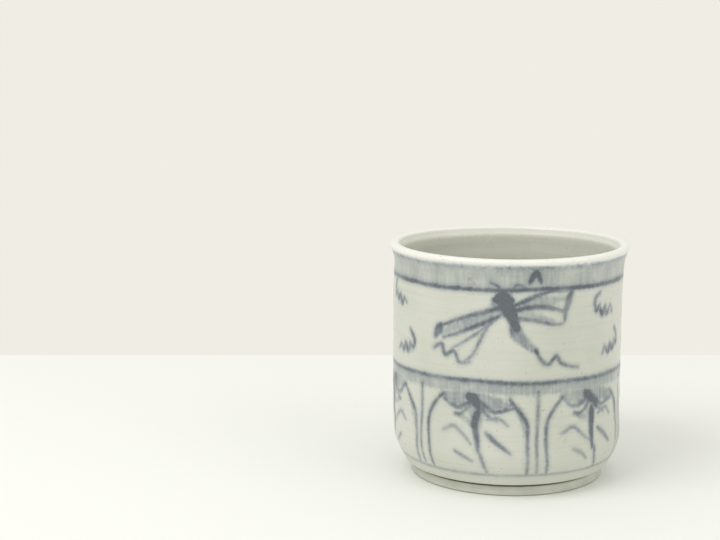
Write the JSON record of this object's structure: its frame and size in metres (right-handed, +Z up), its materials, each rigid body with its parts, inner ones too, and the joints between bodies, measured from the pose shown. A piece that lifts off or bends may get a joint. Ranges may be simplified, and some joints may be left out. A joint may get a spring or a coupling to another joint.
{
  "type": "fresh water jar",
  "caption": "Straight-sided glazed ceramic water jar, open at the top, with a rolled lip, a rounded heel and a low turned foot ring; cobalt brushwork outside.",
  "frame": {"origin": "centre of the foot ring's land, on the surface the jar stands on", "axes": "+Z up the jar's axis, -Y the pictured side"},
  "size_m": [0.18, 0.18, 0.177],
  "materials": {
    "glaze": "glossy grey-white glaze over cobalt brushwork",
    "foot": "thin satin glaze with turning lines"
  },
  "bodies": {
    "root": {"jar_body": "glaze", "foot_ring": "foot"}
  },
  "joints": []
}
